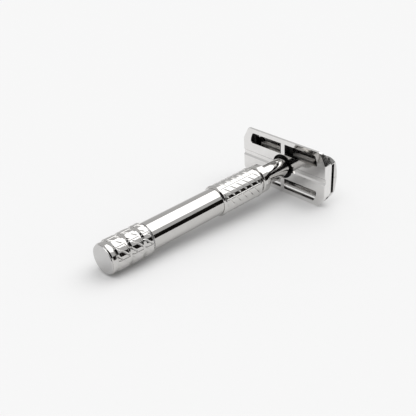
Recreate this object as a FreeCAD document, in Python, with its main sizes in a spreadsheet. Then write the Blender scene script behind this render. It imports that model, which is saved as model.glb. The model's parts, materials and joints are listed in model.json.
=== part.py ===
"""Safety razor of the twist-to-open kind, lying on its side.

Turning the knob screws a carriage out of the guard tray, and the two doors that it carries swing
apart. Every piece is drawn in the razor's own frame: X along the head, Z along the handle from the
knob's end face to the head, and Y across the head. A sub-part's Placement then lays it down, so that
in the finished model Z is up, the handle points along +Y and the razor rests on the table at Z = 0.
"""

import FreeCAD, Part
import math
import os

import Sketcher

SIZES = {
    # the head in plan
    "head_half_length": 21.0,
    "head_half_width": 11.5,
    "corner_along": 2.7,
    "corner_across": 5.1,
    "corner_round": 1.6,
    # the guard tray
    "guard_along": 87.6,
    "floor": 1.2,
    "edge_bevel": 0.15,
    "bar_high": 1.6,
    "bar_slope": 0.8,
    "wall": 0.8,
    "wall_high": 3.8,
    "wall_shoulder": 3.45,
    "wall_low": 2.4,
    "wall_foot": 9.6,
    "tab_half_width": 6.1,
    "shoulder_half_width": 7.4,
    "neck_hole_radius": 5.0,
    "slot_inner": 0.95,
    "slot_outer": 17.1,
    "slot_low": 5.2,
    "slot_high": 9.65,
    "slot_slant": 1.2,
    "slot_round": 0.8,
    "channel_half_width": 1.35,
    "channel_depth": 0.6,
    "channel_flank": 0.7,
    # the doors, seen from the head's end
    "door_top": 7.1,
    "door_gap": 0.05,
    "roof_radius": 18.8,
    "shoulder_radius": 6.07,
    "shoulder_across": 4.05,
    "shoulder_up": 0.4,
    "door_skin": 0.8,
    "lip_up": 2.7,
    "flange_tab": 5.3,
    "flange_shoulder": 3.75,
    "flange_low": 3.6,
    "door_end": 0.6,
    # the door hinges
    "pivot_across": 8.0,
    "pivot_up": 2.2,
    "lobe_radius": 0.8,
    "pin_radius": 0.4,
    "pin_clearance": 0.05,
    "ear_inner": 17.7,
    "ear_outer": 18.5,
    "bracket_inner": 15.4,
    "bracket_outer": 17.5,
    # the blade bed
    "bed_half_width": 5.5,
    "bracket_crown": 3.0,
    "lug_half_length": 3.2,
    "lug_foot": 4.4,
    "lug_reach": 7.7,
    "lug_nose": 0.5,
    "lug_low": 2.15,
    "lug_high": 3.6,
    "bed_half_length": 13.4,
    "tongue_half_width": 6.8,
    "tongue_low": 3.4,
    "bed_low": 2.4,
    "bed_high": 4.4,
    "post_across": 0.7,
    "post_near": 6.5,
    "post_far": 10.5,
    "post_high": 5.5,
    # the handle
    "tube_radius": 5.22,
    "tube_seat_radius": 4.95,
    "tube_bore": 4.2,
    "tube_start": 17.75,
    "tube_end": 71.2,
    "sleeve_radius": 5.96,
    "sleeve_panel_radius": 5.86,
    "sleeve_start": 50.0,
    "sleeve_end": 70.1,
    "sleeve_lip": 1.1,
    "sleeve_bevel": 0.55,
    "collar_radius": 5.6,
    "collar_end": 74.5,
    "collar_bevel": 0.5,
    "neck_radius": 3.83,
    "neck_bore": 3.0,
    "neck_spigot": 3.4,
    "shank_start": 62.0,
    "flange_half_length": 7.2,
    "flange_half_width": 5.0,
    "flange_thickness": 0.9,
    "bevel": 0.2,
    # the knob
    "cap_radius": 5.25,
    "cap_thickness": 0.35,
    "cap_plug": 3.0,
    "knob_bore": 4.4,
    "knob_web": 12.0,
    "knob_end": 17.3,
    "rim_radius": 5.6,
    "rim_end": 1.95,
    "rim_bevel": 0.4,
    "groove_radius": 5.1,
    "band_radius": 5.85,
    "band_start": 2.45,
    "band_pitch": 5.5,
    "band_width": 4.9,
    "band_bevel_near": 0.3,
    "band_bevel_far": 0.9,
    # the drive
    "screw_radius": 2.2,
    "screw_head_radius": 3.4,
    "screw_head": 1.6,
    "screw_end": 36.5,
    "running_gap": 0.05,
    "clip_seat_radius": 1.8,
    "clip_radius": 3.2,
    "clip_start": 24.1,
    "clip_width": 0.7,
    "clip_play": 0.05,
    "clip_mouth": 1.5,
    "washer_start": 17.33,
    "washer_thickness": 0.14,
    "washer_radius": 3.9,
    "bush_start": 17.5,
    "bush_flange_radius": 4.9,
    "bush_end": 24.0,
    "nut_radius": 3.9,
    "nut_start": 27.0,
    "nut_end": 41.0,
    "rod_seat": 38.0,
    "rod_seat_radius": 2.6,
    "rod_round_end": 44.0,
    "rod_half_width": 1.7,
    "rod_spigot": 1.5,
    "guide_start": 80.0,
    "guide_end": 86.5,
    "bed_screw_head_radius": 2.2,
    "bed_screw_head": 0.6,
    "bed_screw_radius": 0.8,
    "bed_screw_depth": 3.0,
}

BANDS = 3
ENDS = {"left": -1, "right": 1}
DOORS = {"upper": -1, "lower": 1}

document = FreeCAD.newDocument("SafetyRazor")
sheet = document.addObject("Spreadsheet::Sheet", "Sizes")
for row, (alias, number) in enumerate(SIZES.items(), start=1):
    sheet.set(f"A{row}", alias)
    sheet.set(f"B{row}", str(number))
    sheet.setAlias(f"B{row}", alias)
document.recompute()


class Size:
    """A number together with the sheet expression that gives it."""

    def __init__(self, number, text):
        self.number = number
        self.text = text

    def __add__(self, other):
        other = as_size(other)
        return Size(self.number + other.number, f"({self.text} + {other.text})")

    def __sub__(self, other):
        other = as_size(other)
        return Size(self.number - other.number, f"({self.text} - {other.text})")

    def __mul__(self, factor):
        return Size(self.number * factor, f"({self.text} * {factor})")

    def __neg__(self):
        return self * -1


def as_size(value):
    if isinstance(value, Size):
        return value
    return Size(value, str(value))


def given(alias):
    """The number that the sheet holds under an alias."""
    return float(sheet.get(alias))


def size(alias):
    return Size(given(alias), f"Sizes.{alias}")


def bind(feature, setting, value):
    """Ties one setting of a feature to the sheet."""
    feature.setExpression(setting, as_size(value).text)


# ---- sketches ---------------------------------------------------------------------------------


def pin_down(sketch, geometry, end, corner):
    """Holds one end of a sketch line at a corner measured from the sketch's origin."""
    for axis, distance, coordinate in ((-2, "DistanceX", corner[0]), (-1, "DistanceY", corner[1])):
        coordinate = as_size(coordinate)
        if coordinate.number == 0:
            sketch.addConstraint(Sketcher.Constraint("PointOnObject", geometry, end, axis))
            continue
        index = sketch.addConstraint(
            Sketcher.Constraint(distance, -1, 1, geometry, end, coordinate.number)
        )
        bind(sketch, f"Constraints[{index}]", coordinate)


def arc_between(start, finish, radius):
    """The arc from start to finish that bulges to the right of the way from one to the other."""
    middle = (start + finish) * 0.5
    along = finish - start
    reach = math.sqrt(radius**2 - (along.Length / 2) ** 2)
    left = FreeCAD.Vector(-along.y, along.x, 0).normalize()
    centre = middle + left * reach
    first = math.atan2(start.y - centre.y, start.x - centre.x)
    last = math.atan2(finish.y - centre.y, finish.x - centre.x)
    circle = Part.Circle(centre, FreeCAD.Vector(0, 0, 1), radius)
    return Part.ArcOfCircle(circle, first, last)


def outline(sketch, corners, arcs=None):
    """Closes an outline through its corners. arcs gives the radius of the side after a corner."""
    arcs = arcs or {}
    points = [FreeCAD.Vector(as_size(x).number, as_size(y).number, 0) for x, y in corners]
    sides = []
    for index, start in enumerate(points):
        finish = points[(index + 1) % len(points)]
        if index in arcs:
            shape = arc_between(start, finish, arcs[index].number)
        else:
            shape = Part.LineSegment(start, finish)
        sides.append(sketch.addGeometry(shape, False))
    for index, side in enumerate(sides):
        following = sides[(index + 1) % len(sides)]
        sketch.addConstraint(Sketcher.Constraint("Coincident", side, 2, following, 1))
        pin_down(sketch, side, 1, corners[index])
        if index in arcs:
            radius = Sketcher.Constraint("Radius", side, arcs[index].number)
            bind(sketch, f"Constraints[{sketch.addConstraint(radius)}]", arcs[index])


def ring(sketch, radius, centre=(0, 0)):
    """Draws a circle."""
    radius = as_size(radius)
    spot = FreeCAD.Vector(as_size(centre[0]).number, as_size(centre[1]).number, 0)
    shape = Part.Circle(spot, FreeCAD.Vector(0, 0, 1), radius.number)
    circle = sketch.addGeometry(shape, False)
    pin_down(sketch, circle, 3, centre)
    index = sketch.addConstraint(Sketcher.Constraint("Radius", circle, radius.number))
    bind(sketch, f"Constraints[{index}]", radius)


def box_corners(low, high):
    return [(low[0], low[1]), (high[0], low[1]), (high[0], high[1]), (low[0], high[1])]


# ---- bodies -----------------------------------------------------------------------------------

sub_parts = []


def new_body(name):
    body = document.addObject("PartDesign::Body", name)
    body.Label = name
    sub_parts.append(body)
    return body


def new_sketch(body, plane, name, height=0):
    """A sketch on one of the body's own origin planes, or parallel to it at a height."""
    sketch = body.newObject("Sketcher::SketchObject", name)
    role = plane + "_Plane"
    origin_plane = next(item for item in body.Origin.OriginFeatures if item.Role == role)
    sketch.AttachmentSupport = [(origin_plane, "")]
    sketch.MapMode = "FlatFace"
    if as_size(height).number:
        bind(sketch, "AttachmentOffset.Base.z", height)
    return sketch


def pad(body, sketch, length, both_ways=False):
    feature = body.newObject("PartDesign::Pad", "Pad")
    feature.Profile = sketch
    bind(feature, "Length", length)
    if both_ways:
        feature.Midplane = True
    return feature


def pocket(body, sketch, length=None, both_ways=False, upwards=True):
    """Cuts a sketch out of the body, through all of it when no length is given."""
    feature = body.newObject("PartDesign::Pocket", "Pocket")
    feature.Profile = sketch
    feature.Midplane = both_ways
    if length is None:
        feature.Type = 1
    else:
        bind(feature, "Length", length)
    feature.Reversed = upwards
    return feature


def revolve(body, corners, name="Outline"):
    """Turns an outline of (radius, distance along the handle) about the handle's axis."""
    sketch = new_sketch(body, "XZ", name)
    outline(sketch, corners)
    feature = body.newObject("PartDesign::Revolution", "Turned")
    feature.Profile = sketch
    feature.ReferenceAxis = (sketch, ["V_Axis"])
    feature.Angle = 360
    return feature


def turned(name, corners):
    body = new_body(name)
    revolve(body, corners)
    return body


def tube_outline(bore, radius, start, end):
    return [(bore, start), (radius, start), (radius, end), (bore, end)]


# ---- the handle -------------------------------------------------------------------------------


def make_handle_tube():
    bevel = size("bevel")
    start, end = size("tube_start"), size("tube_end")
    radius, bore, seat = size("tube_radius"), size("tube_bore"), size("tube_seat_radius")
    turned(
        "handle_tube",
        [
            (bore, start),
            (radius - bevel, start),
            (radius, start + bevel),
            (radius, size("sleeve_start")),
            (seat, size("sleeve_start")),
            (seat, end),
            (bore, end),
        ],
    )


def make_grip_sleeve():
    start, end, lip = size("sleeve_start"), size("sleeve_end"), size("sleeve_lip")
    radius, panel = size("sleeve_radius"), size("sleeve_panel_radius")
    step, bevel = radius - panel, size("sleeve_bevel")
    turned(
        "grip_sleeve",
        [
            (size("tube_seat_radius"), start),
            (radius - bevel, start),
            (radius, start + bevel),
            (radius, start + lip),
            (panel, start + lip + step),
            (panel, end - lip - step),
            (radius, end - lip),
            (radius, end - step),
            (radius - step, end),
            (size("tube_seat_radius"), end),
        ],
    )


def make_neck():
    guard = size("guard_along")
    bevel = size("bevel")
    radius, bore, spigot = size("neck_radius"), size("neck_bore"), size("neck_spigot")
    shoulder = guard + size("floor")
    turned(
        "neck_tube",
        [
            (bore, size("shank_start")),
            (size("tube_bore"), size("shank_start")),
            (size("tube_bore"), size("tube_end")),
            (radius, size("tube_end")),
            (radius, shoulder),
            (spigot, shoulder),
            (spigot, shoulder + size("flange_thickness")),
            (bore, shoulder + size("flange_thickness")),
        ],
    )
    collar = size("collar_radius")
    turned(
        "neck_collar",
        [
            (radius, size("tube_end")),
            (collar - size("collar_bevel"), size("tube_end")),
            (collar, size("tube_end") + size("collar_bevel")),
            (collar, size("collar_end") - bevel),
            (collar - bevel, size("collar_end")),
            (radius, size("collar_end")),
        ],
    )
    bush = new_body("neck_bush")
    sketch = new_sketch(bush, "XY", "Round", size("guide_start"))
    ring(sketch, bore)
    pad(bush, sketch, size("guide_end") - size("guide_start"))
    sketch = new_sketch(bush, "XY", "SquareHole", size("guide_start"))
    half = size("rod_half_width") + size("running_gap")
    outline(sketch, box_corners((-half, -half), (half, half)))
    pocket(bush, sketch)


def make_head_flange():
    """An oblong flange, soldered to the guard's floor, that the neck's spigot is swaged into."""
    body = new_body("head_flange")
    half_length, half_width = size("flange_half_length"), size("flange_half_width")
    cut = half_width * 0.3
    base = size("guard_along") + size("floor")
    sketch = new_sketch(body, "XY", "Plan", base)
    outline(
        sketch,
        [
            (half_length - cut, -half_width),
            (half_length, -half_width + cut),
            (half_length, half_width - cut),
            (half_length - cut, half_width),
            (-half_length + cut, half_width),
            (-half_length, half_width - cut),
            (-half_length, -half_width + cut),
            (-half_length + cut, -half_width),
        ],
    )
    ring(sketch, size("neck_spigot"))
    pad(body, sketch, size("flange_thickness"))


# ---- the head ---------------------------------------------------------------------------------


def plan_octagon(inset=0):
    """The head's plan: a rectangle with cut corners, drawn in by an inset on every side."""
    inset = as_size(inset)
    length = size("head_half_length") - inset
    width = size("head_half_width") - inset
    slope = math.atan2(given("corner_along"), given("corner_across"))
    # keeping the cut corner the same inset away leaves it this much shorter each way
    across = size("corner_across") - inset * (1 - math.tan((math.pi / 2 - slope) / 2))
    along = size("corner_along") - inset * (1 - math.tan(slope / 2))
    quarter = [(length, width - across), (length - along, width)]
    corners = list(quarter)
    corners += [(-x, y) for x, y in reversed(quarter)]
    corners += [(-x, -y) for x, y in quarter]
    corners += [(x, -y) for x, y in reversed(quarter)]
    return corners


def wall_plan(side):
    """An end wall in plan: it follows the head's end and its two cut corners."""
    outer_flat = size("head_half_width") - size("corner_across")
    foot = size("wall_foot")
    slope = given("corner_along") / given("corner_across")
    length, wall = size("head_half_length"), size("wall")
    foot_length = length - (foot - outer_flat) * slope
    skew = wall * math.hypot(1, slope)
    inner_flat = outer_flat - wall * ((math.hypot(1, slope) - 1) / slope)
    half = [
        (length, outer_flat),
        (foot_length, foot),
        (foot_length - skew, foot),
        (length - wall, inner_flat),
    ]
    corners = half + [(x, -y) for x, y in reversed(half)]
    return [(x * side, y) for x, y in corners]


def wall_profile(side):
    """What is cut away above an end wall and along a safety bar, on one side of the head."""
    tall = size("wall_high") + 1
    tab, shoulder = size("tab_half_width"), size("shoulder_half_width")
    beyond = size("head_half_width") + 1
    slope = size("bar_slope")
    ramp = size("wall_foot") - size("wall_low") + size("bar_high")
    corners = [
        (tab, tall),
        (tab, size("wall_shoulder")),
        (shoulder, size("wall_shoulder")),
        (shoulder, size("wall_low")),
        (ramp, size("wall_low")),
        (size("wall_foot"), size("bar_high")),
        (size("head_half_width") - slope, size("bar_high")),
        (beyond, size("bar_high") - slope - 1),
        (beyond, tall),
    ]
    return [(x * side, y) for x, y in corners]


def bar_plan(side):
    """A safety bar in plan: the strip of the head's long side beyond the rinse slots."""
    length, width = size("head_half_length"), size("head_half_width")
    inner = size("slot_high")
    slope = given("corner_along") / given("corner_across")
    outer_length = length - size("corner_along")
    inner_length = outer_length + (width - inner) * slope
    corners = [
        (-inner_length, inner),
        (inner_length, inner),
        (outer_length, width),
        (-outer_length, width),
    ]
    return [(x, y * side) for x, y in corners]


def slot_corners(along, across):
    """A rinse slot in one quarter of the floor, its outer end slanted like the tray's corner."""
    inner, outer = size("slot_inner"), size("slot_outer")
    low, high = size("slot_low"), size("slot_high")
    slant = size("slot_slant")
    middle = low + (high - low) * 0.5
    corners = [
        (inner, low),
        (outer, low),
        (outer - slant * 0.25, middle),
        (outer - slant, high),
        (inner, high),
    ]
    return [(x * along, y * across) for x, y in corners]


def make_guard_plate():
    body = new_body("guard_plate")
    sketch = new_sketch(body, "XY", "Plan")
    outline(sketch, plan_octagon())
    pad(body, sketch, size("floor"))
    for name, side in ENDS.items():
        sketch = new_sketch(body, "XY", f"Wall_{name}")
        outline(sketch, wall_plan(side))
        pad(body, sketch, size("wall_high"))
    for side in (-1, 1):
        sketch = new_sketch(body, "XY", "Bar")
        outline(sketch, bar_plan(side))
        pad(body, sketch, size("bar_high"))
    for side in (-1, 1):
        sketch = new_sketch(body, "YZ", "WallTop")
        outline(sketch, wall_profile(side))
        pocket(body, sketch, both_ways=True)
    sketch = new_sketch(body, "XY", "Openings")
    ring(sketch, size("neck_hole_radius"))
    for along in (-1, 1):
        for across in (-1, 1):
            outline(sketch, slot_corners(along, across))
    pocket(body, sketch)
    half, depth, flank = size("channel_half_width"), size("channel_depth"), size("channel_flank")
    sketch = new_sketch(body, "YZ", "Channel")
    outline(sketch, [(-half, 0), (half, 0), (half - flank, depth), (-half + flank, depth)])
    pocket(body, sketch, both_ways=True)
    document.recompute()
    edge_feature(body, "Fillet", "SlotCorners", slot_corner, "Radius", "slot_round")
    edge_feature(body, "Fillet", "PlanCorners", plan_corner, "Radius", "corner_round")
    edge_feature(body, "Chamfer", "Rim", underside_edge, "Size", "edge_bevel")
    lift(body, "guard_along")


def upright(edge):
    return edge.BoundBox.XLength < 1e-6 and edge.BoundBox.YLength < 1e-6


def slot_corner(edge):
    """An upright corner at the outer end of a rinse slot."""
    x, y = abs(edge.BoundBox.XMin), abs(edge.BoundBox.YMin)
    in_slot = given("slot_low") - 0.01 < y < given("slot_high") + 0.01
    return upright(edge) and in_slot and 2 * given("slot_inner") < x < given("slot_outer") + 0.01


def plan_corner(edge):
    """An upright corner of the head's plan."""
    spot = (abs(edge.BoundBox.XMin), abs(edge.BoundBox.YMin))
    corners = [(abs(x.number), abs(y.number)) for x, y in plan_octagon()]
    return upright(edge) and any(math.dist(spot, corner) < 1e-4 for corner in corners)


def underside_edge(edge):
    """An edge of the tray's lower rim, all round except across the channel."""
    box = edge.BoundBox
    outer = abs(box.YMin + box.YMax) > 2 * given("slot_high")
    outer = outer or abs(box.XMin + box.XMax) > 2 * given("slot_outer")
    return box.ZMax < 1e-6 and outer and len(edge.Vertexes) == 2


def edge_feature(body, kind, name, chosen, setting, alias):
    """Fillets or chamfers every edge of the body that is chosen."""
    base = body.Tip
    edges = [f"Edge{i}" for i, edge in enumerate(body.Shape.Edges, start=1) if chosen(edge)]
    feature = body.newObject(f"PartDesign::{kind}", name)
    feature.Base = (base, edges)
    bind(feature, setting, size(alias))
    document.recompute()


def lift(body, alias):
    """Moves a sub-part drawn from the guard's underside to its place along the handle."""
    body.Placement = FreeCAD.Placement(FreeCAD.Vector(0, 0, given(alias)), FreeCAD.Rotation())


def door_arc_height(across, skin=0):
    """Height of the door's shoulder arc, or of its inside, at a distance across the head."""
    radius = given("shoulder_radius") - skin
    offset = across - given("shoulder_across")
    return given("shoulder_up") + math.sqrt(radius**2 - offset**2)


def arc_meeting(skin=0):
    """Where the roof arc runs into the shoulder arc."""
    roof, shoulder = given("roof_radius"), given("shoulder_radius")
    reach = roof - shoulder
    drop = math.sqrt(reach**2 - given("shoulder_across") ** 2)
    scale = (roof - skin) / reach
    across = given("shoulder_across") * scale
    return across, given("shoulder_up") - drop + drop * scale


def skin_points(skin=0):
    """Centre line, meeting and lip of the door's outer face, or of its inner one."""
    roof = given("roof_radius") - skin
    meeting = arc_meeting(skin)
    drop = math.sqrt((given("roof_radius") - given("shoulder_radius")) ** 2 - given("shoulder_across") ** 2)
    gap = given("door_gap")
    top = given("shoulder_up") - drop + math.sqrt(roof**2 - gap**2)
    radius = given("shoulder_radius") - skin
    lip = given("shoulder_across") + math.sqrt(radius**2 - (given("lip_up") - given("shoulder_up")) ** 2)
    return (gap, top), meeting, (lip, given("lip_up"))


def arc_edge(start, finish, centre, radius):
    """An arc in the plane across the head, between two points at a radius about a centre."""
    first = math.atan2(start[1] - centre[1], start[0] - centre[0])
    last = math.atan2(finish[1] - centre[1], finish[0] - centre[0])
    middle = (first + last) / 2
    halfway = (centre[0] + radius * math.cos(middle), centre[1] + radius * math.sin(middle))
    return Part.Arc(across_point(start), across_point(halfway), across_point(finish)).toShape()


def across_point(point):
    return FreeCAD.Vector(0, point[0], point[1])


def skin_edges(skin):
    """The roof and shoulder arcs, and their outer ends."""
    start, meeting, lip = skin_points(skin)
    drop = math.sqrt((given("roof_radius") - given("shoulder_radius")) ** 2 - given("shoulder_across") ** 2)
    roof_centre = (0, given("shoulder_up") - drop)
    shoulder_centre = (given("shoulder_across"), given("shoulder_up"))
    roof = arc_edge(start, meeting, roof_centre, given("roof_radius") - skin)
    shoulder = arc_edge(meeting, lip, shoulder_centre, given("shoulder_radius") - skin)
    return [roof, shoulder], start, lip


def closed_by(edges, points):
    """A solid bar of the head's length whose section is closed by straight lines."""
    lines = [
        Part.LineSegment(across_point(a), across_point(b)).toShape()
        for a, b in zip(points, points[1:])
    ]
    face = Part.Face(Part.Wire(Part.__sortEdges__(edges + lines)))
    length = 2 * given("head_half_length")
    bar = face.extrude(FreeCAD.Vector(length, 0, 0))
    bar.translate(FreeCAD.Vector(-length / 2, 0, 0))
    return bar


def plan_prism(inset, low, high):
    """A solid standing on the head's plan, drawn in by an inset, between two heights."""
    corners = [(x.number, y.number) for x, y in plan_octagon(inset)]
    points = [FreeCAD.Vector(x, y, low) for x, y in corners]
    face = Part.Face(Part.makePolygon(points + points[:1]))
    block = face.extrude(FreeCAD.Vector(0, 0, high - low))
    uprights = [edge for edge in block.Edges if upright(edge)]
    return block.makeFillet(given("corner_round") - inset, uprights)


def ear(side):
    """The door's hinge ear at one end: a lobe round the pin, and a web up to the door's skin."""
    start, end = given("ear_inner"), given("ear_outer")
    along = start if side > 0 else -end
    across, up, radius = given("pivot_across"), given("pivot_up"), given("lobe_radius")
    root = FreeCAD.Vector(along, across, up)
    lobe = Part.makeCylinder(radius, end - start, root, FreeCAD.Vector(1, 0, 0))
    skin = given("door_skin")
    near, far = across - radius, across + radius
    web = [
        (far, up),
        (far, door_arc_height(far, skin / 2)),
        (near, door_arc_height(near, skin / 2)),
        (near, up),
    ]
    points = [FreeCAD.Vector(along, y, z) for y, z in web]
    face = Part.Face(Part.makePolygon(points + points[:1]))
    return lobe.fuse(face.extrude(FreeCAD.Vector(end - start, 0, 0)))


def make_door(name, side):
    """Half of the razor's top: a curved skin, a flange at each end and two hinge ears."""
    outer_edges, top, lip = skin_edges(0)
    tab, shoulder = given("tab_half_width"), given("shoulder_half_width")
    inner_edges, inner_top, inner_lip = skin_edges(given("door_skin"))
    filled = closed_by(
        outer_edges,
        [
            lip,
            inner_lip,
            (inner_lip[0], given("flange_low")),
            (shoulder, given("flange_low")),
            (shoulder, given("flange_shoulder")),
            (tab, given("flange_shoulder")),
            (tab, given("flange_tab")),
            (top[0], given("flange_tab")),
            top,
        ],
    )
    hollow = closed_by(inner_edges, [inner_lip, (inner_lip[0], 0), (inner_top[0], 0), inner_top])
    tall = given("door_top") + 1
    hollow = hollow.common(plan_prism(given("door_end"), -1, tall))
    shape = filled.common(plan_prism(0, -1, tall)).cut(hollow)
    for end in ENDS.values():
        shape = shape.fuse(ear(end))
    hole = Part.makeCylinder(
        given("pin_radius") + given("pin_clearance"),
        2 * given("head_half_length"),
        FreeCAD.Vector(-given("head_half_length"), given("pivot_across"), given("pivot_up")),
        FreeCAD.Vector(1, 0, 0),
    )
    shape = shape.cut(hole).removeSplitter()
    if side < 0:
        shape = shape.mirror(FreeCAD.Vector(0, 0, 0), FreeCAD.Vector(0, 1, 0))
    door = document.addObject("Part::Feature", name)
    door.Label = name
    door.Shape = shape
    lift(door, "guard_along")
    sub_parts.append(door)


# ---- the carriage -----------------------------------------------------------------------------


def make_blade_bed():
    body = new_body("blade_bed")
    length, width = size("bed_half_length"), size("bed_half_width")
    sketch = new_sketch(body, "XY", "Plan", size("bed_low"))
    outline(sketch, box_corners((-length, -width), (length, width)))
    ring(sketch, size("rod_spigot"))
    pad(body, sketch, size("bed_high") - size("bed_low"))
    lift(body, "guard_along")


def make_bed_lugs():
    """Two lugs hooked under the bed's long sides, which hold it square between the doors."""
    body = new_body("bed_lugs")
    body.AllowCompound = True
    foot, inner, outer = size("lug_foot"), size("bed_half_width"), size("lug_reach")
    low, high = size("lug_low"), size("lug_high")
    corners = [
        (foot, low),
        (outer, low),
        (outer + size("lug_nose"), (low + high) * 0.5),
        (outer, high),
        (inner, high),
        (inner, size("bed_low")),
        (foot, size("bed_low")),
    ]
    sketch = new_sketch(body, "YZ", "Section")
    for side in DOORS.values():
        outline(sketch, [(y * side, z) for y, z in corners])
    pad(body, sketch, size("lug_half_length") * 2, both_ways=True)
    lift(body, "guard_along")


def make_blade_posts():
    body = new_body("blade_posts")
    body.AllowCompound = True
    across, near, far = size("post_across"), size("post_near"), size("post_far")
    sketch = new_sketch(body, "XY", "Plan", size("bed_high"))
    for side in ENDS.values():
        outline(sketch, box_corners((near * side, -across), (far * side, across)))
    pad(body, sketch, size("post_high") - size("bed_high"))
    lift(body, "guard_along")


def make_end_bracket(name, side):
    """A cross plate with a lobe round each door's pin, and a tongue that the bed is fixed to."""
    body = new_body(f"end_bracket_{name}")
    across, up, radius = size("pivot_across"), size("pivot_up"), size("lobe_radius")
    crown = size("bracket_crown")
    sketch = new_sketch(body, "YZ", "Section", size("bracket_inner") * side)
    outline(
        sketch,
        [
            (-across, up - radius),
            (across, up - radius),
            (across, up + radius),
            (crown, size("bed_high")),
            (-crown, size("bed_high")),
            (-across, up + radius),
        ],
    )
    feature = pad(body, sketch, size("bracket_outer") - size("bracket_inner"))
    feature.Reversed = side < 0
    for lobe in (-1, 1):
        sketch = new_sketch(body, "YZ", "Lobe", size("bracket_inner") * side)
        ring(sketch, radius, (across * lobe, up))
        feature = pad(body, sketch, size("bracket_outer") - size("bracket_inner"))
        feature.Reversed = side < 0
    sketch = new_sketch(body, "XY", "Tongue", size("tongue_low"))
    half = size("tongue_half_width")
    outline(
        sketch,
        box_corners(
            (size("bed_half_length") * side, -half),
            (size("bracket_inner") * side, half),
        ),
    )
    pad(body, sketch, size("bed_high") - size("tongue_low"))
    sketch = new_sketch(body, "YZ", "PinHoles")
    for lobe in (-1, 1):
        ring(sketch, size("pin_radius"), (across * lobe, up))
    pocket(body, sketch, both_ways=True)
    lift(body, "guard_along")


def make_hinge_pins():
    body = new_body("hinge_pins")
    body.AllowCompound = True
    tip = size("ear_outer") - size("running_gap")
    for name, side in ENDS.items():
        sketch = new_sketch(body, "YZ", f"Pins_{name}", size("bracket_inner") * side)
        for door in DOORS.values():
            ring(sketch, size("pin_radius"), (size("pivot_across") * door, size("pivot_up")))
        feature = pad(body, sketch, tip - size("bracket_inner"))
        feature.Reversed = side < 0
    lift(body, "guard_along")


def make_drive_nut():
    bore = size("screw_radius") + size("running_gap")
    seat = size("rod_seat_radius")
    turned(
        "drive_nut",
        [
            (bore, size("nut_start")),
            (size("nut_radius"), size("nut_start")),
            (size("nut_radius"), size("nut_end")),
            (seat, size("nut_end")),
            (seat, size("rod_seat")),
            (bore, size("rod_seat")),
        ],
    )


def make_drive_rod():
    """Round where it sits in the nut, square along the neck, with a spigot for the blade bed."""
    seat, round_end = size("rod_seat"), size("rod_round_end")
    shoulder = size("guard_along") + size("bed_low")
    top = size("guard_along") + size("bed_high")
    half = size("rod_half_width")
    body = turned("drive_rod", tube_outline(0, size("rod_seat_radius"), seat, round_end))
    sketch = new_sketch(body, "XY", "Square", round_end)
    outline(sketch, box_corners((-half, -half), (half, half)))
    pad(body, sketch, shoulder - round_end)
    sketch = new_sketch(body, "XY", "Spigot", shoulder)
    ring(sketch, size("rod_spigot"))
    pad(body, sketch, top - shoulder)
    sketch = new_sketch(body, "XY", "ScrewHole", top - size("bed_screw_depth"))
    ring(sketch, size("bed_screw_radius"))
    pocket(body, sketch, size("bed_screw_depth"))


def make_bed_screw():
    top = size("guard_along") + size("bed_high")
    shank, head = size("bed_screw_radius"), size("bed_screw_head_radius")
    lip = size("bed_screw_head") * 0.5
    turned(
        "bed_screw",
        [
            (0, top - size("bed_screw_depth")),
            (shank, top - size("bed_screw_depth")),
            (shank, top),
            (head, top),
            (head, top + lip),
            (head - lip, top + size("bed_screw_head")),
            (0, top + size("bed_screw_head")),
        ],
    )


# ---- the knob ---------------------------------------------------------------------------------


def knob_bands():
    """Start and end of each knurled band; the last one runs to the knob's end."""
    bands = []
    for index in range(BANDS):
        start = size("band_start") + size("band_pitch") * index
        end = start + size("band_width") if index < BANDS - 1 else size("knob_end")
        bands.append((start, end))
    return bands


def make_knob_shell():
    bevel = size("bevel")
    groove, band, rim = size("groove_radius"), size("band_radius"), size("rim_radius")
    corners = [
        (size("knob_bore"), size("cap_thickness")),
        (rim - size("rim_bevel"), size("cap_thickness")),
        (rim, size("cap_thickness") + size("rim_bevel")),
        (rim, size("rim_end")),
        (groove, size("rim_end") + bevel),
    ]
    for start, end in knob_bands():
        corners += [
            (groove, start),
            (band, start + size("band_bevel_near")),
            (band, end - size("band_bevel_far")),
            (groove, end),
        ]
    corners += [
        (size("screw_radius"), size("knob_end")),
        (size("screw_radius"), size("knob_web")),
        (size("knob_bore"), size("knob_web")),
    ]
    turned("knob_shell", corners)


def make_knob_end_cap():
    plug, edge = size("knob_bore"), size("bevel") * 0.5
    turned(
        "knob_end_cap",
        [
            (0, 0),
            (size("cap_radius") - edge, 0),
            (size("cap_radius"), edge),
            (size("cap_radius"), size("cap_thickness")),
            (plug, size("cap_thickness")),
            (plug, size("cap_plug")),
            (0, size("cap_plug")),
        ],
    )


def make_drive_screw():
    radius, head, seat = size("screw_radius"), size("screw_head_radius"), size("clip_seat_radius")
    clip_start = size("clip_start")
    tip = size("bevel")
    turned(
        "drive_screw",
        [
            (0, size("knob_web") - size("screw_head")),
            (head, size("knob_web") - size("screw_head")),
            (head, size("knob_web")),
            (radius, size("knob_web")),
            (radius, clip_start),
            (seat, clip_start),
            (seat, clip_start + size("clip_width")),
            (radius, clip_start + size("clip_width")),
            (radius, size("screw_end") - tip),
            (radius - tip, size("screw_end")),
            (0, size("screw_end")),
        ],
    )


def make_retaining_clip():
    """A snap ring with a mouth, sprung into the spindle's groove."""
    play = size("clip_play")
    start = size("clip_start") + play
    end = size("clip_start") + size("clip_width") - play
    body = turned(
        "retaining_clip",
        tube_outline(size("clip_seat_radius"), size("clip_radius"), start, end),
    )
    mouth = size("clip_mouth")
    sketch = new_sketch(body, "XY", "Mouth", start)
    outline(sketch, box_corners((0.5, -mouth), (size("clip_radius") + 1, mouth)))
    pocket(body, sketch)


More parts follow.
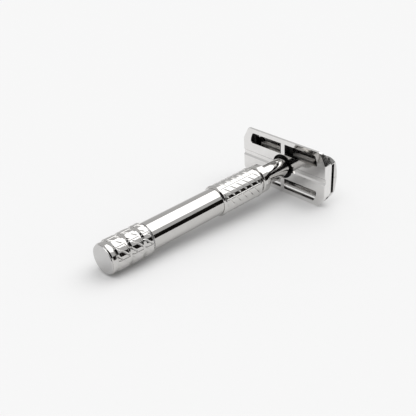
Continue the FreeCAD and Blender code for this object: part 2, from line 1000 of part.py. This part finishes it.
def make_bearings():
    bore = size("screw_radius") + size("running_gap")
    turned(
        "thrust_washer",
        tube_outline(
            bore,
            size("washer_radius"),
            size("washer_start"),
            size("washer_start") + size("washer_thickness"),
        ),
    )
    turned(
        "knob_bush",
        [
            (bore, size("bush_start")),
            (size("bush_flange_radius"), size("bush_start")),
            (size("bush_flange_radius"), size("tube_start")),
            (size("tube_bore"), size("tube_start")),
            (size("tube_bore"), size("bush_end")),
            (bore, size("bush_end")),
        ],
    )


# ---- laying the razor down --------------------------------------------------------------------


def lying_angle():
    """Tilt of the handle when the knob's first band and the guard's lower edge touch the table."""
    rise = given("head_half_width") - given("band_radius")
    run = given("guard_along") + given("edge_bevel")
    run -= given("band_start") + given("band_bevel_near")
    return math.degrees(math.atan2(rise, run))


def lay_down():
    """Tilts every sub-part and puts the origin under the middle of the lying razor."""
    tilt = FreeCAD.Rotation(FreeCAD.Vector(1, 0, 0), lying_angle() - 90)
    turn = FreeCAD.Placement(FreeCAD.Vector(0, 0, 0), tilt)
    for part in sub_parts:
        part.Placement = turn.multiply(part.Placement)
    document.recompute()
    boxes = [part.Shape.optimalBoundingBox(False) for part in sub_parts]
    lowest = min(box.ZMin for box in boxes)
    middle = (min(box.YMin for box in boxes) + max(box.YMax for box in boxes)) / 2
    shift = FreeCAD.Vector(0, -middle, -lowest)
    for part in sub_parts:
        part.Placement.Base = part.Placement.Base + shift
    document.recompute()
    return shift


def check_document():
    for item in document.Objects:
        if "Invalid" in item.State or "Error" in item.State:
            raise RuntimeError(f"{item.Label} failed to build")
    for part in sub_parts:
        if part.Shape.isNull() or not part.Shape.isValid():
            raise RuntimeError(f"{part.Label} has a bad shape")


def main():
    make_handle_tube()
    make_grip_sleeve()
    make_neck()
    make_head_flange()
    make_guard_plate()
    for name, side in DOORS.items():
        make_door(f"door_{name}", side)
    make_blade_bed()
    make_bed_lugs()
    make_blade_posts()
    for name, side in ENDS.items():
        make_end_bracket(name, side)
    make_hinge_pins()
    make_drive_nut()
    make_drive_rod()
    make_bed_screw()
    make_knob_shell()
    make_knob_end_cap()
    make_drive_screw()
    make_retaining_clip()
    make_bearings()
    document.recompute()
    shift = lay_down()
    check_document()
    print("tilt", round(lying_angle(), 5), "shift", round(shift.y, 4), round(shift.z, 4))
    os.makedirs("parts", exist_ok=True)
    for part in sub_parts:
        part.Shape.exportStep(f"parts/{part.Label}.step")


main()
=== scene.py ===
import json
import math

import bmesh
import bpy
import numpy as np
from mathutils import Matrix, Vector


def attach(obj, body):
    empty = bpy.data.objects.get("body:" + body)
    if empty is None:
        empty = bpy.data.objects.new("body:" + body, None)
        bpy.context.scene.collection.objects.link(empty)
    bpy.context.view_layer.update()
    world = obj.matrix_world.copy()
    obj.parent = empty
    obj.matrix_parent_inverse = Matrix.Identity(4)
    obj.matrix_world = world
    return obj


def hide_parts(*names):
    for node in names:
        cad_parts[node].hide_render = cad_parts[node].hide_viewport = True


# A chrome safety razor lying on a pale table, its knob towards the camera.
#
# The razor's own frame is used for its pieces: x along the head, along = up the handle from the
# knob's end face, across = over the head, away from the table. Sizes in it are in millimetres.

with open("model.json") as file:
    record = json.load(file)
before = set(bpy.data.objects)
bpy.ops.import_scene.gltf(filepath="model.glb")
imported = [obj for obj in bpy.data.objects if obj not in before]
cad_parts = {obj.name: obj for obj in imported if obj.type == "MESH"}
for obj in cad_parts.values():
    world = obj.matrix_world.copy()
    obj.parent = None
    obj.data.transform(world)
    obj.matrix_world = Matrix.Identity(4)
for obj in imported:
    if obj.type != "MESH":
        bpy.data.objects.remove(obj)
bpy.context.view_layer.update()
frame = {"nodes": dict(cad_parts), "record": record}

MM = 0.001
MOUNTS = {mount["name"]: mount for mount in frame["record"]["mounts"]}
SLOTS = {part["node"]: part["material_slot"] for part in frame["record"]["subparts"]}
KNOB_END = Vector(MOUNTS["knob_end"]["pos_m"])
ALONG = -Vector(MOUNTS["knob_end"]["axis"]).normalized()
SIDE = Vector((1, 0, 0))
ACROSS = SIDE.cross(ALONG)


def extent(node):
    """Where a turned CAD node starts and ends along the handle, and its outer radius, in mm."""
    points = [vertex.co - KNOB_END for vertex in frame["nodes"][node].data.vertices]
    heights = [point.dot(ALONG) for point in points]
    radii = [(point - ALONG * point.dot(ALONG)).length for point in points]
    return min(heights) / MM, max(heights) / MM, max(radii) / MM


# ---- turned pieces ----------------------------------------------------------------------------


def soften(corners, radius, steps=4, closed=True):
    """Rounds every corner of an outline with a small arc."""
    points = [np.array(corner, float) for corner in corners]
    softened = []
    for index, point in enumerate(points):
        before = points[index - 1]
        after = points[(index + 1) % len(points)]
        if not closed and index in (0, len(points) - 1):
            softened.append(point)
            continue
        to_before = before - point
        to_after = after - point
        reach = min(radius, np.linalg.norm(to_before) * 0.4, np.linalg.norm(to_after) * 0.4)
        start = point + to_before / np.linalg.norm(to_before) * reach
        end = point + to_after / np.linalg.norm(to_after) * reach
        for step in range(steps + 1):
            t = step / steps
            softened.append((1 - t) ** 2 * start + 2 * t * (1 - t) * point + t**2 * end)
    return softened


def divide(points, spacing, closed=True):
    """Adds points so that no stretch of the outline is longer than the spacing."""
    divided = []
    last = len(points) if closed else len(points) - 1
    for index in range(last):
        start = points[index]
        end = points[(index + 1) % len(points)]
        count = max(1, math.ceil(np.linalg.norm(end - start) / spacing))
        for step in range(count):
            divided.append(start + (end - start) * step / count)
    if not closed:
        divided.append(points[-1])
    return divided


def lathe(name, points, around=192, relief=None, closed=True):
    """Turns an outline of (radius, along) points about the handle's axis.

    relief(radius, along, turn) gives how deep the surface is cut there, as an array.
    """
    outline = np.array(points)
    turn = np.linspace(0, 2 * math.pi, around, endpoint=False)
    radius = np.repeat(outline[:, :1], around, axis=1)
    along = np.repeat(outline[:, 1:], around, axis=1)
    if relief:
        radius = radius - relief(radius, along, np.degrees(turn)[None, :])
    local = np.stack([radius * np.sin(turn), along, radius * np.cos(turn)], axis=-1)
    basis = np.array([SIDE, ALONG, ACROSS])
    points = (local.reshape(-1, 3) @ basis) * MM + np.array(KNOB_END)
    rows = len(outline)
    faces = []
    for row in range(rows if closed else rows - 1):
        below = row * around
        above = ((row + 1) % rows) * around
        for column in range(around):
            beside = (column + 1) % around
            faces.append((below + column, below + beside, above + beside, above + column))
    return new_piece(name, points, faces)


def new_piece(name, points, faces, sharp=40):
    mesh = bpy.data.meshes.new(name)
    mesh.from_pydata([tuple(point) for point in points], [], faces)
    mesh.update()
    piece = bpy.data.objects.new(name, mesh)
    bpy.context.collection.objects.link(piece)
    bpy.context.view_layer.objects.active = piece
    clean(mesh)
    mesh.polygons.foreach_set("use_smooth", [True] * len(mesh.polygons))
    mesh.set_sharp_from_angle(angle=math.radians(sharp))
    return piece


def clean(mesh):
    """Joins points that meet, and turns every face outwards."""
    shape = bmesh.new()
    shape.from_mesh(mesh)
    bmesh.ops.remove_doubles(shape, verts=shape.verts, dist=MM * 0.0005)
    bmesh.ops.recalc_face_normals(shape, faces=shape.faces)
    shape.to_mesh(mesh)
    shape.free()


def stand_for(piece, node, body, material):
    """The piece takes the place of a CAD node, on its body and with its material slot."""
    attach(piece, body)
    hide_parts(node)
    piece.data.materials.append(material)


def even_shading(piece):
    """Keeps flats flat next to small rounded edges."""
    shading = piece.modifiers.new("shading", "WEIGHTED_NORMAL")
    shading.keep_sharp = True


# ---- knurling ---------------------------------------------------------------------------------

PANELS = 8
SLANTS = 10
SLANT_PITCH = 3.1


def knurl(first_line, slant_shift, slant_width, slant_depth, line_width, line_depth, start, end, edge):
    """Slanting cuts in panels, with a fine groove along the handle between the panels.

    Lengths are in mm and first_line is in degrees, from the side away from the table. The cuts
    fade out within the edge distance of start and end.
    """
    advance = SLANTS * SLANT_PITCH

    def relief(radius, along, turn):
        arc = np.radians(1) * radius
        slope = advance / (360 * arc)
        squeeze = 1 / np.sqrt(1 + slope**2)
        phase = (along - slant_shift) / SLANT_PITCH - turn * SLANTS / 360
        off = np.abs(phase - np.round(phase)) * SLANT_PITCH * squeeze
        panel = (turn - first_line) / (360 / PANELS)
        gap = np.abs(panel - np.round(panel)) * (360 / PANELS) * arc
        slant = np.clip(1 - off / (slant_width / 2), 0, 1)
        stop = np.clip((gap - line_width) / 0.5, 0, 1)
        line = np.clip(1 - gap / (line_width / 2), 0, 1)
        inside = np.clip((along - start) / edge, 0, 1) * np.clip((end - along) / edge, 0, 1)
        cut = np.maximum(slant * stop * slant_depth, line * line_depth)
        return cut * inside

    return relief


# ---- materials --------------------------------------------------------------------------------


def new_material(name, metallic=1.0):
    material = bpy.data.materials.new(name)
    material.use_nodes = True
    shader = material.node_tree.nodes["Principled BSDF"]
    shader.inputs["Metallic"].default_value = metallic
    return material, shader


def node(material, kind, **settings):
    made = material.node_tree.nodes.new(kind)
    for key, value in settings.items():
        if key in made.inputs:
            made.inputs[key].default_value = value
        else:
            setattr(made, key, value)
    return made


def join(material, source, target):
    material.node_tree.links.new(source, target)


def stretched(material, squash):
    """Object coordinates in mm, squashed along each axis by its factor."""
    coordinates = node(material, "ShaderNodeTexCoord")
    mapping = node(material, "ShaderNodeMapping")
    mapping.inputs["Scale"].default_value = [factor / MM for factor in squash]
    join(material, coordinates.outputs["Object"], mapping.inputs["Vector"])
    return mapping.outputs["Vector"]


def noise(material, place_at, scale, detail=4.0, rough=0.5):
    made = node(material, "ShaderNodeTexNoise")
    made.inputs["Scale"].default_value = scale
    made.inputs["Detail"].default_value = detail
    made.inputs["Roughness"].default_value = rough
    join(material, place_at, made.inputs["Vector"])
    return made.outputs["Fac"]


def spread(material, source, low, high, first=0.3, last=0.7):
    """Maps a noise onto a range of values."""
    made = node(material, "ShaderNodeMapRange")
    made.inputs["From Min"].default_value = first
    made.inputs["From Max"].default_value = last
    made.inputs["To Min"].default_value = low
    made.inputs["To Max"].default_value = high
    join(material, source, made.inputs["Value"])
    return made.outputs["Result"]


def tint(material, source, dark, light):
    made = node(material, "ShaderNodeMix", data_type="RGBA")
    for socket in made.inputs:
        if socket.type == "RGBA":
            socket.default_value = (*(dark if socket.name == "A" else light), 1)
    join(material, source, made.inputs["Factor"])
    return next(socket for socket in made.outputs if socket.type == "RGBA")


def bump(material, shader, source, depth):
    made = node(material, "ShaderNodeBump")
    made.inputs["Strength"].default_value = 1.0
    made.inputs["Distance"].default_value = depth * MM
    join(material, source, made.inputs["Height"])
    join(material, made.outputs["Normal"], shader.inputs["Normal"])


def plated(name, dark, light, roughness, brush, depth):
    """Metal with faint smudges and fine lines left by polishing or brushing.

    brush is how much the lines are squashed along x, y and z, and depth their height in mm.
    """
    material, shader = new_material(name)
    smudge = noise(material, stretched(material, (1, 1, 1)), 0.35, 6.0, 0.62)
    lines = noise(material, stretched(material, brush), 1.0, 5.0, 0.6)
    join(material, tint(material, smudge, dark, light), shader.inputs["Base Color"])
    both = node(material, "ShaderNodeMath", operation="MULTIPLY")
    join(material, smudge, both.inputs[0])
    join(material, lines, both.inputs[1])
    rough = spread(material, both.outputs[0], roughness[0], roughness[1], 0.12, 0.4)
    join(material, rough, shader.inputs["Roughness"])
    bump(material, shader, lines, depth)
    return material


# dark and light reflectance, roughness from and to, brush and depth
POLISHED = plated(
    "polished_chrome", (0.53, 0.52, 0.505), (0.60, 0.59, 0.575), (0.03, 0.09), (6, 0.3, 6), 0.00035
)
KNURLED = plated("knurled_chrome", (0.55, 0.54, 0.525), (0.64, 0.63, 0.615), (0.05, 0.13), (3, 3, 3), 0.0010)
TURNED_FACE = plated(
    "turned_chrome", (0.54, 0.535, 0.53), (0.61, 0.605, 0.60), (0.14, 0.26), (8, 2, 8), 0.0010
)
SATIN = plated("satin_chrome", (0.72, 0.71, 0.70), (0.84, 0.83, 0.82), (0.05, 0.12), (6, 2, 0.5), 0.0008)
NICKEL = plated("nickel_plate", (0.66, 0.645, 0.62), (0.74, 0.725, 0.70), (0.42, 0.58), (0.4, 6, 6), 0.0006)
DOOR = plated("door_chrome", (0.62, 0.61, 0.60), (0.72, 0.71, 0.70), (0.2, 0.3), (0.3, 4, 4), 0.0004)
STEEL = plated("plain_steel", (0.48, 0.48, 0.49), (0.60, 0.60, 0.61), (0.20, 0.38), (6, 0.8, 6), 0.0015)
# Near-black steel is painted shade: it stands in for the dark seen in the slots, in the cavity under the
# guard and in the shadowed ring round the neck.
NEAR_BLACK_PAINTED_SHADE = plated(
    "blackened_steel", (0.012, 0.012, 0.012), (0.03, 0.029, 0.028), (0.4, 0.6), (2, 2, 2), 0.0015
)
BRASS = plated("turned_brass", (0.60, 0.43, 0.18), (0.78, 0.60, 0.30), (0.16, 0.34), (0.8, 7, 0.8), 0.0020)
FINISHES = {
    "polished_chrome": POLISHED,
    "knurled_chrome": KNURLED,
    "satin_chrome": SATIN,
    "nickel_plate": NICKEL,
    "plain_steel": STEEL,
    # Parts in the blackened_steel slot get the near-black painted shade.
    "blackened_steel": NEAR_BLACK_PAINTED_SHADE,
    "brass": BRASS,
}
DOORS = ("door_upper", "door_lower")

# ---- the handle -------------------------------------------------------------------------------

FINE = 0.09
SEAT_DEPTH = 0.27
TUBE_WALL = 1.02
NECK_RADIUS = 3.83


def make_tube():
    start, end, radius = extent("handle_tube")
    sleeve_start = extent("grip_sleeve")[0]
    seat = radius - SEAT_DEPTH
    bore = radius - TUBE_WALL
    corners = [
        (bore, start),
        (radius, start),
        (radius, sleeve_start),
        (seat, sleeve_start),
        (seat, end),
        (bore, end),
    ]
    tube = lathe("handle_tube_polished", soften(corners, 0.18))
    even_shading(tube)
    stand_for(tube, "handle_tube", "handle", POLISHED)


def make_grip():
    start, end, radius = extent("grip_sleeve")
    tube_radius = extent("handle_tube")[2]
    seat = tube_radius - SEAT_DEPTH
    lip, step, bevel = 1.1, 0.1, 0.55
    panel = radius - step
    corners = [
        (seat, start),
        (radius - bevel, start),
        (radius, start + bevel),
        (radius, start + lip),
        (panel, start + lip + step),
        (panel, end - lip - step),
        (radius, end - lip),
        (radius, end - bevel),
        (radius - bevel, end),
        (seat, end),
    ]
    outline = divide(soften(corners, 0.12), FINE)
    pattern = knurl(
        first_line=24,
        slant_shift=start,
        slant_width=0.7,
        slant_depth=0.18,
        line_width=0.3,
        line_depth=0.12,
        start=start + lip + step,
        end=end - lip - step,
        edge=0.3,
    )
    limit = (seat + panel) / 2

    def relief(radius, along, turn):
        return np.where(radius > limit, pattern(radius, along, turn), 0)

    sleeve = lathe("grip_sleeve_knurled", outline, 448, relief)
    stand_for(sleeve, "grip_sleeve", "handle", KNURLED)


def make_collar():
    start, end, radius = extent("neck_collar")
    bevel = 0.5
    corners = [
        (NECK_RADIUS, start),
        (radius - bevel, start),
        (radius, start + bevel),
        (radius, end),
        (NECK_RADIUS, end),
    ]
    collar = lathe("neck_collar_polished", soften(corners, 0.2, 5))
    even_shading(collar)
    stand_for(collar, "neck_collar", "handle", POLISHED)


def make_neck():
    start, end, shank = extent("neck_tube")
    collar_start = extent("neck_collar")[0]
    spigot, bore, spigot_length = 3.4, 3.0, 0.9
    shoulder = end - spigot_length
    corners = [
        (bore, start),
        (shank, start),
        (shank, collar_start),
        (NECK_RADIUS, collar_start),
        (NECK_RADIUS, shoulder),
        (spigot, shoulder),
        (spigot, end),
        (bore, end),
    ]
    tube = lathe("neck_tube_polished", soften(corners, 0.1))
    even_shading(tube)
    stand_for(tube, "neck_tube", "handle", POLISHED)


# ---- the knob ---------------------------------------------------------------------------------


BANDS = 3
KNOB_BORE = 4.4


def make_knob():
    start, end, radius = extent("knob_shell")
    groove, rim = radius - 0.75, radius - 0.25
    spindle, web = 2.2, 12.0
    rim_end, rim_bevel, rim_step = 1.95, 0.4, 0.2
    first_band, band_pitch, band_width = 2.45, 5.5, 4.9
    bevel_near, bevel_far = 0.7, 0.5
    corners = [
        (KNOB_BORE, start),
        (rim - rim_bevel, start),
        (rim, start + rim_bevel),
        (rim, rim_end),
        (groove, rim_end + rim_step),
    ]
    bands = []
    for index in range(BANDS):
        band_start = first_band + band_pitch * index
        band_end = min(band_start + band_width, end)
        bands.append((band_start, band_end))
        corners += [
            (groove, band_start),
            (radius, band_start + bevel_near),
            (radius, band_end - bevel_far),
            (groove, band_end),
        ]
    corners += [(spindle, end), (spindle, web), (KNOB_BORE, web)]
    outline = divide(soften(corners, 0.1), FINE)
    cuts = [
        knurl(
            first_line=38,
            slant_shift=0,
            slant_width=0.65,
            slant_depth=0.2,
            line_width=0.3,
            line_depth=0.14,
            start=band_start,
            end=band_end,
            edge=0.25,
        )
        for band_start, band_end in bands
    ]

    def relief(radius, along, turn):
        total = sum(cut(radius, along, turn) for cut in cuts)
        depth = np.minimum(total, np.maximum(radius - groove, 0))
        return np.where(radius > groove, depth, 0)

    knob = lathe("knob_knurled", outline, 448, relief)
    stand_for(knob, "knob_shell", "knob", KNURLED)


def make_knob_cap():
    start, end, radius = extent("knob_end_cap")
    lip = extent("knob_shell")[0]
    corners = [
        (0, start),
        (radius, start),
        (radius, lip),
        (KNOB_BORE, lip),
        (KNOB_BORE, end),
        (0, end),
    ]
    outline = divide(soften(corners, 0.12, closed=False), 0.5, closed=False)
    cap = lathe("knob_end_cap_turned", outline, closed=False)
    even_shading(cap)
    stand_for(cap, "knob_end_cap", "knob", TURNED_FACE)


# ---- the CAD's own pieces ---------------------------------------------------------------------


def finish_node(name, edge):
    """Gives a CAD piece its material and a small rounded edge."""
    piece = frame["nodes"][name]
    piece.data.materials.clear()
    piece.data.materials.append(DOOR if name in DOORS else FINISHES[SLOTS[name]])
    weld = piece.modifiers.new("weld", "WELD")
    weld.merge_threshold = MM * 0.002
    flats = piece.modifiers.new("flats", "DECIMATE")
    flats.decimate_type = "DISSOLVE"
    flats.angle_limit = math.radians(0.5)
    rounded = piece.modifiers.new("edges", "BEVEL")
    rounded.width = edge * MM
    rounded.segments = 2
    rounded.limit_method = "ANGLE"
    rounded.angle_limit = math.radians(35)
    even_shading(piece)


KEPT = {
    "guard_plate": 0.13,
    "head_flange": 0.08,
    "door_upper": 0.08,
    "door_lower": 0.08,
    "blade_bed": 0.08,
    "bed_lugs": 0.05,
    "blade_posts": 0.12,
    "bed_screw": 0.05,
    "end_bracket_left": 0.05,
    "end_bracket_right": 0.05,
    "hinge_pins": 0.05,
    "drive_nut": 0.1,
    "drive_rod": 0.1,
    "drive_screw": 0.05,
    "retaining_clip": 0.05,
    "thrust_washer": 0.03,
    "knob_bush": 0.05,
    "neck_bush": 0.05,
}

make_tube()
make_grip()
make_collar()
make_neck()
make_knob()
make_knob_cap()
for node_name, edge_size in KEPT.items():
    finish_node(node_name, edge_size)

# ---- the table, the light and the camera ------------------------------------------------------


def make_card(name, corners, colour):
    """A flat, dull card."""
    mesh = bpy.data.meshes.new(name)
    mesh.from_pydata([tuple(corner) for corner in corners], [], [(0, 1, 2, 3)])
    card = bpy.data.objects.new(name, mesh)
    bpy.context.collection.objects.link(card)
    material, shader = new_material(name + "_colour", metallic=0.0)
    shader.inputs["Base Color"].default_value = (*colour, 1)
    shader.inputs["Roughness"].default_value = 1.0
    shader.inputs["Specular IOR Level"].default_value = 0.0
    card.data.materials.append(material)
    return card


def make_floor():
    edge = 6.0  # metres
    corners = [(-edge, -edge, 0), (edge, -edge, 0), (edge, edge, 0), (-edge, edge, 0)]
    make_card("floor", corners, (0.8, 0.8, 0.8))


def make_flag(name, centre, width, height, colour):
    """A card that only reflections see, facing the razor."""
    middle = Vector(centre)
    facing = -middle.normalized()
    sideways = facing.cross(Vector((0, 0, 1))).normalized()
    upwards = sideways.cross(facing)
    corners = [
        middle + sideways * width * a / 2 + upwards * height * b / 2
        for a, b in ((-1, -1), (1, -1), (1, 1), (-1, 1))
    ]
    card = make_card(name, corners, colour)
    card.visible_camera = False
    card.visible_diffuse = False
    card.visible_shadow = False


def make_sun(name, direction, half_angle, irradiance):
    """A round soft light far away, in a direction from the razor."""
    light = bpy.data.lights.new(name, "SUN")
    light.energy = irradiance
    light.angle = math.radians(2 * half_angle)
    sun = bpy.data.objects.new(name, light)
    sun.rotation_euler = Vector(direction).to_track_quat("Z", "Y").to_euler()
    bpy.context.collection.objects.link(sun)


def make_world(grey, pale):
    """Mid-grey surroundings, which the camera itself sees as pale as the table."""
    world = bpy.data.worlds.new("studio")
    bpy.context.scene.world = world
    world.use_nodes = True
    tree = world.node_tree
    tree.nodes.clear()
    output = tree.nodes.new("ShaderNodeOutputWorld")
    mix = tree.nodes.new("ShaderNodeMixShader")
    path = tree.nodes.new("ShaderNodeLightPath")
    for index, level in enumerate((grey, pale), start=1):
        background = tree.nodes.new("ShaderNodeBackground")
        background.inputs["Color"].default_value = (level, level, level, 1)
        tree.links.new(background.outputs[0], mix.inputs[index])
    tree.links.new(path.outputs["Is Camera Ray"], mix.inputs[0])
    tree.links.new(mix.outputs[0], output.inputs[0])


def make_camera():
    camera = bpy.data.objects.new("camera", bpy.data.cameras.new("camera"))
    camera.data.lens = 59.2
    camera.data.sensor_width = 36
    camera.data.clip_start = 0.01
    camera.location = (0.1585, -0.1514, 0.1228)
    aim = Vector((-0.0006, 0.0002, 0.0071))
    camera.rotation_euler = (camera.location - aim).to_track_quat("Z", "Y").to_euler()
    bpy.context.collection.objects.link(camera)
    bpy.context.scene.camera = camera


make_floor()
make_flag("side_flag", (0.37, 0.21, 0.104), 0.30, 0.20, (0.01, 0.009, 0.008))
make_flag("camera_flag", (0.24, -0.41, 0.20), 0.62, 0.41, (0.01, 0.01, 0.01))
make_sun("softbox", ALONG * 0.546 + ACROSS * 0.838, 30, 1.25)
make_sun("front_softbox", Vector((0.038, -0.437, 0.899)), 20, 0.64)
make_world(0.635, 0.913)
make_camera()
bpy.context.scene.view_settings.view_transform = "Standard"

bpy.context.view_layer.update()
